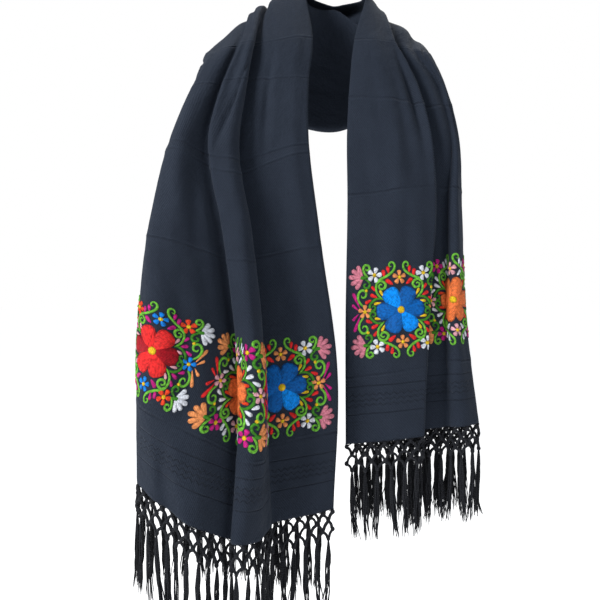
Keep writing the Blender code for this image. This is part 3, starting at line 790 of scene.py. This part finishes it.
class Parts:
    # many small forms that become one mesh
    def __init__(self):
        self.points, self.uvs, self.faces = [], [], []
        self.count = 0

    def add(self, points, uvs, faces):
        self.points.append(points.reshape(-1, 3))
        self.uvs.append(uvs.reshape(-1, 2))
        self.faces += [[k + self.count for k in face] for face in faces]
        self.count += len(self.points[-1])

    def build(self, name, slots, materials):
        points, uvs = np.concatenate(self.points), np.concatenate(self.uvs)
        return newObject(name, points, self.faces, uvs, slots, materials)


class Stitching(Parts):
    # raised patches of thread, drawn in motif millimetres and laid on the cloth
    def __init__(self, side):
        super().__init__()
        self.band = Band(side)
        # seen from the front, across runs leftward on the right side
        self.hand = np.array([-1.0 if side == "right" else 1.0, 1.0])
        self.rims = []
        self.slots = []

    def startMotif(self, middle, size):
        self.middle = np.array(middle)
        self.size = np.array(size)
        self.motifStart = self.count

    def patch(self, plan, height, thread, stitch, rim):
        # rim: nought in the middle of the patch and one at its edge
        rows, columns = plan.shape[:2]
        spots = self.middle + plan * self.size * self.hand
        stitch = stitch + 11.0 * ((self.count - self.motifStart) % 97)    # no two patches streak alike
        faces = gridFaces(rows, columns, flip=True).tolist()
        self.rims.append(np.broadcast_to(rim, (rows, columns)).ravel())
        self.slots += [threadNames.index(thread)] * len(faces)
        height = np.broadcast_to(height, (rows, columns))
        self.add(self.band.place(spots[..., 0], spots[..., 1], height), stitch, faces)

    def lobe(self, form, foot, ahead, length, width, thread, lift=0.0):
        # a petal or leaf: narrow at its foot, widest past the middle
        blunt, high, rows, columns, across = forms[form]
        t = 1 - (1 - np.linspace(0.0, 1.0, rows)[:, None]) ** 1.25
        s = np.sin(np.linspace(-1.0, 1.0, columns) * math.pi / 2)[None, :]
        half = width / 2 * (0.16 + 0.84 * t ** blunt) * rounded(t, 6)
        along = length * t * np.ones_like(s)
        aside = np.array([-ahead[1], ahead[0]])
        plan = np.asarray(foot) + along[..., None] * ahead + (half * s)[..., None] * aside
        height = 0.1 + (high + lift) * rounded(s, 2) * np.clip(6 * t, 0.3, 1) * rounded(t, 8, 1.02)
        stitch = (along + half * s * 0.6, half * s) if across else (half * s + along * 0.15, along)
        self.patch(plan, height, thread, np.stack(stitch, axis=-1), np.maximum(np.abs(s), t ** 3))

    def disc(self, middle, radius, thread, high=motif["discHigh"]):
        ring = np.linspace(0, 2 * math.pi, 13)[None, :]
        reach = np.array([0.02, 0.5, 0.85, 1.0])[:, None]
        dome = np.array([1.0, 0.85, 0.45, 0.0])[:, None]
        circle = np.stack([np.cos(ring), -np.sin(ring)], axis=-1)
        plan = np.asarray(middle) + radius * reach[..., None] * circle
        self.patch(plan, 0.4 + high * dome, thread, plan, reach)

    def vine(self, points, thread):
        knots = np.array(points, dtype=float)
        padded = np.vstack([2 * knots[0] - knots[1], knots, 2 * knots[-1] - knots[-2]])
        path = []
        for a, b, c, d in zip(padded, padded[1:], padded[2:], padded[3:]):
            for t in (0.0, 0.25, 0.5, 0.75):
                path.append(0.5 * (2 * b + (c - a) * t + (2 * a - 5 * b + 4 * c - d) * t * t
                                   + (3 * b - a - 3 * c + d) * t ** 3))
        path = np.array(path + [knots[-1]])
        ahead = unit(np.gradient(path, axis=0))
        aside = np.column_stack([-ahead[:, 1], ahead[:, 0]])
        run = lengthAlong(path)[:, None]
        t = run / run[-1]
        # thickest past the middle, and drawn in at both ends
        half = motif["vine"] / 2 * (0.72 + 0.42 * np.sin(math.pi * np.clip(t * 0.9 + 0.1, 0, 1)))
        half *= rounded(2 * t - 1, 12, 1.03, 0.04)
        s = np.array([-1.0, -0.7, 0.0, 0.7, 1.0])[None, :]
        plan = path[:, None] + (half * s)[..., None] * aside[:, None]
        stitch = np.stack([run + 0.5 * half * s, half * s], axis=-1)
        self.patch(plan, 0.15 + motif["vineHigh"] * rounded(s, 2), thread, stitch, np.abs(s))

    def bloom(self, middle, radius, thread, turn=0.0):
        # a small flower of five petals, the first pointing up but for the turn
        for k in range(5):
            ahead = pointing(0.5 * math.pi + turn + 2 * math.pi * k / 5)
            foot = np.asarray(middle) + radius * 0.2 * ahead
            self.lobe("small", foot, ahead, radius * 0.82, radius * 0.84, thread)
        self.disc(middle, radius * 0.29, "yellow")


def pointing(angle):
    return np.array([math.cos(angle), math.sin(angle)])


def stitchQuarter(work, palette, flip):
    def heading(degrees):
        return pointing(math.radians(degrees)) * flip

    for n, line in enumerate(vines):
        work.vine(np.array(line) * flip, "darkGreen" if n in darkVines else "lightGreen")
    for form, (width, wider, behind, rows) in leaves.items():
        for x, y, degrees, length in rows:
            ahead = heading(degrees)
            foot = np.array([x, y]) * flip - behind * length * ahead
            work.lobe(form, foot, ahead, length, width + wider * length, palette[form])
    work.disc(motif["dot"] * flip, motif["dotSize"], "yellow")
    work.bloom(motif["corners"] * flip, motif["cornerFlower"], palette["corner"],
               motif["cornerTurn"] * flip.prod())
    foot = motif["tulipFoot"] * flip
    for k in (-2, 2, -1, 1, 0):
        lean = motif["tulipTurn"] + motif["tulipSpread"] * k
        length = motif["tulipLength"] * (1.0 - motif["tulipShorter"] * abs(k))
        work.lobe("tulip", foot, heading(lean), length, motif["tulipWidth"], palette["tulip"],
                  motif["tulipStep"] * (2 - abs(k)))
    ahead = heading(0)
    work.lobe("calyx", foot - motif["calyxBack"] * ahead, ahead, *motif["calyx"], "darkGreen")


def stitchMotif(work, palette, bright):
    foot = motif["petalFoot"]
    for k in range(6):
        ahead = pointing(math.radians(60 * k + motif["petalTurn"]))
        thread = palette["petalAlt"] if k in bright else palette["petal"]
        work.lobe("petal", foot * ahead, ahead, motif["flower"] - foot, motif["petalWidth"], thread)
    work.disc((0, 0), motif["heart"], "yellow", motif["heartHigh"])
    for flip in ((-1, -1), (-1, 1), (1, -1), (1, 1)):
        stitchQuarter(work, palette, np.array(flip))
    for side in (-1, 1):
        work.bloom((0, side * motif["smallUp"]), motif["smallFlower"], palette["small"])
        work.bloom((side * motif["smallAside"], 0), motif["smallFlower"], palette["small"])


embroideries = {}
for side, row in motifRows.items():
    work = Stitching(side)
    for kind, across, fromHem, size in row:
        work.startMotif((across, fromHem), size)
        stitchMotif(work, palettes[kind], accents.get((side, kind), ()))
    embroideries[side] = work.build(side + "_embroidery", work.slots, threadMaterials)
    rims = np.concatenate(work.rims)
    addLayer(embroideries[side].data, "rim", np.column_stack([rims, rims]))
    print(side, "embroidery", len(work.faces), "faces")

# knotted net and tassels
fringe = {
    "cells": 43, "top": 0.4, "firstDrop": 3.4, "row": 12.0, "rows": 3, "length": 143.0, "margin": 1.5,
    "cord": 2.2, "knot": 3.1, "jitter": (0.4, 0.9, 0.8),
    "hemThreads": 6, "hemThread": 0.55, "hemSpread": 0.42,
    "strands": 12, "strand": 0.72, "sway": 3.6, "tassel": (3.6, 2.4), "fray": (2.2, 1.6),
    # how thick a strand is from its top to its tip
    "taper": (1.5, 1.5, 1.45, 1.4, 1.35, 1.3, 1.15, 0.95, 0.5),
}
chance = np.random.default_rng(7)


class Tubes(Parts):
    def tube(self, path, radii, aside, sides):
        # aside: a direction across the path
        path = np.asarray(path)
        rows = len(path)
        ahead = unit(np.gradient(path, axis=0))
        right = unit(aside - (ahead @ aside)[:, None] * ahead)
        up = np.cross(ahead, right)
        ring = np.linspace(0, 2 * math.pi, sides, endpoint=False)
        radii = np.broadcast_to(radii, rows)
        points = path[:, None] + radii[:, None, None] * (np.cos(ring)[None, :, None] * right[:, None]
                                                        + np.sin(ring)[None, :, None] * up[:, None])
        uvs = np.stack(np.broadcast_arrays(ring[None, :], lengthAlong(path)[:, None]), axis=-1)
        i, j = np.meshgrid(np.arange(rows - 1), np.arange(sides), indexing="ij")
        a = (i * sides + j).ravel()
        b = (i * sides + (j + 1) % sides).ravel()
        faces = np.column_stack([a, b, b + sides, a + sides]).tolist()
        ends = [list(reversed(range(sides))), [(rows - 1) * sides + k for k in range(sides)]]
        self.add(points, uvs, faces + ends)

    def knot(self, middle, radius, aside):
        # a fat short tube, drawn in at both ends
        t = np.linspace(-1, 1, 6)
        path = middle + np.outer(t * radius * 1.15, [0.0, 0.0, -1.0])
        self.tube(path, radius * rounded(t, 2, 1.08, 0.05), aside, 7)


class Hem:
    # the edge of a front that its fringe is tied into
    def __init__(self, side):
        stretch = stretches[side + "_front"]
        row, self.turn = (0, 1.0) if side == "right" else (-1, -1.0)
        self.line = stretch.grid[row]
        self.across = stretch.across[row]

    def read(self, u, axes):
        u = np.clip(u, 0.0, cloth["width"])
        return np.array([np.interp(u, self.across, self.line[:, k]) for k in range(axes)])

    def outward(self, u):
        step = self.read(u + 5.0, 2) - self.read(u - 5.0, 2)
        return unit(np.array([-step[1], step[0], 0.0]) * self.turn)

    def spot(self, u, drop, out=0.0):
        u = np.clip(u, 0.0, cloth["width"])
        return self.read(u, 3) + self.outward(u) * out - np.array([0.0, 0.0, drop])


def knotPlaces(pitch):
    # each knot's place across, its drop below the hem, and how far it stands out
    knots = {}
    for level in range(fringe["rows"] + 1):
        odd = level % 2
        for i in range(fringe["cells"] + 1 - odd):
            shift = chance.normal(0, fringe["jitter"]) * (level > 0)
            u = (i + 0.5 * odd) * pitch + shift[0]
            drop = fringe["top"] + fringe["firstDrop"] + level * fringe["row"] + shift[1]
            knots[level, 2 * i + odd] = (np.clip(u, fringe["margin"], cloth["width"] - fringe["margin"]),
                                         drop, shift[2])
    return knots


def netCord(work, hem, knot, below, step):
    # from one knot down to the next, bowed a little
    start = np.array([knot[0] + step * 1.2, knot[1] + 1.6])
    end = np.array([below[0] - step * 1.2, below[1] - 1.6])
    path = []
    for t in np.linspace(0, 1, 6):
        mid = start + (end - start) * t
        bulge = math.sin(math.pi * t)
        path.append(hem.spot(mid[0] + step * bulge, mid[1] - 0.8 * bulge,
                             knot[2] * (1 - t) + below[2] * t + 0.5 * step * bulge))
    work.tube(path, fringe["cord"] * chance.uniform(0.85, 1.1), hem.outward(knot[0]), 6)


def tassel(work, hem, u, drop):
    # loose strands under a lowest knot, frayed at their ends
    out = hem.outward(u)
    sideways = np.cross([0.0, 0.0, 1.0], out)
    lean = chance.normal(0, (fringe["sway"], 0.6 * fringe["sway"]))
    length = fringe["length"] - drop + fringe["top"]
    top = hem.spot(u, drop + 1.0)
    t = np.linspace(0, 1, len(fringe["taper"]))
    for k in range(fringe["strands"]):
        angle = 2 * math.pi * k / fringe["strands"] + chance.uniform(-0.3, 0.3)
        offset = pointing(angle) * fringe["tassel"] * chance.uniform(0.6, 1.0)
        fray = chance.normal(0, fringe["fray"])
        tip = length * chance.uniform(0.84, 1.0)
        wave = 1.1 * np.sin(chance.uniform(0, 6.28) + 11 * t) * np.minimum(1.0, 2 * t)
        apart = np.sin(np.minimum(t * 4, 1.0) * math.pi / 2) * (0.75 + 0.35 * t)
        a, b = (offset[n] * apart + lean[n] * t * t + fray[n] * t ** 3 for n in (0, 1))
        path = top + np.outer(a + wave, sideways) + np.outer(b + 0.6 * wave, out)
        path[:, 2] -= tip * t
        radii = fringe["strand"] * np.array(fringe["taper"])
        work.tube(path, radii * chance.uniform(0.8, 1.15), sideways, 4)


def fringeObject(side, material):
    hem = Hem(side)
    work = Tubes()
    pitch = cloth["width"] / fringe["cells"]
    knots = knotPlaces(pitch)
    for (level, place), (u, drop, out) in knots.items():
        outward = hem.outward(u)
        middle = hem.spot(u, drop, out)
        work.knot(middle, fringe["knot"] * chance.uniform(0.85, 1.12), np.cross(outward, [0.0, 0.0, 1.0]))
        if level == 0:
            # the threads that come out of the hem into the first knot
            for k in np.linspace(-fringe["hemSpread"], fringe["hemSpread"], fringe["hemThreads"]):
                start = hem.spot(u + k * pitch, -1.0)
                end = hem.spot(u + k * 2.0, drop, out)
                bowed = 0.5 * (start + end) + outward * chance.uniform(-0.3, 0.6)
                work.tube([start, bowed, end], fringe["hemThread"], outward, 4)
        for step in (-1, 1):
            if (level + 1, place + step) in knots:
                netCord(work, hem, (u, drop, out), knots[level + 1, place + step], step)
        if level == fringe["rows"]:
            tassel(work, hem, u, drop)
    return work.build(side + "_net", None, [material])


# twist and depth in metres
cordLook = {"colour": (0.0045, 0.005, 0.007), "pale": (0.017, 0.019, 0.025), "roughness": 0.75,
            "specular": 0.2, "twist": 0.0034, "depth": 0.0005, "grain": 400.0}


def cordFinish(name):
    finish = Finish(name, Roughness=cordLook["roughness"], Specular_IOR_Level=cordLook["specular"])
    place, around, along = finish.uv()
    spiral = (around / mm + along * (2 * math.pi / cordLook["twist"])).maths("SINE")
    # the twist is painted paler on the plies and darker between them, as painted shade; the grain varies at
    # random
    shade = spiral * 0.25 + finish.noise(place, cordLook["grain"]) * 0.6 + 0.1
    finish.paint(shade.within(), cordLook["colour"], cordLook["pale"])
    finish.bump(spiral, cordLook["depth"])
    return finish.material


nets = {side: fringeObject(side, cordFinish(side + "_cord_twisted")) for side in ("right", "left")}
for side, net in nets.items():
    print(side, "net", len(net.data.polygons), "faces")

# what each piece rides on and stands for
lengths = {"right_front": alongRight["crest"], "neck_wrap": alongLeft["crest"] - alongRight["crest"],
           "left_front": cloth["end"] - alongLeft["crest"]}
for node, piece in clothPieces.items():
    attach(piece, "root")
    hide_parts(node)
    node + "_twill"
for side in ("right", "left"):
    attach(embroideries[side], "root")
    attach(nets[side], "root")
    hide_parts(side + "_fringe")
lengths["right_front"] * mm
# the small gathers round the neck are not modelled, so the cut that shows there is narrower
lengths["neck_wrap"] * mm
lengths["left_front"] * mm

# floor
floorFinish = Finish("pale_floor", Base_Color=(*view["floorColour"], 1), Roughness=0.9,
                     Emission_Color=(1, 1, 1, 1), Emission_Strength=view["floorGlow"])
half, level = view["floorReach"] / mm, view["floorHeight"] / mm
corners = [(-half, -half, level), (half, -half, level), (half, half, level), (-half, half, level)]
floor = newObject("floor", corners, [(0, 1, 2, 3)], materials=[floorFinish.material])
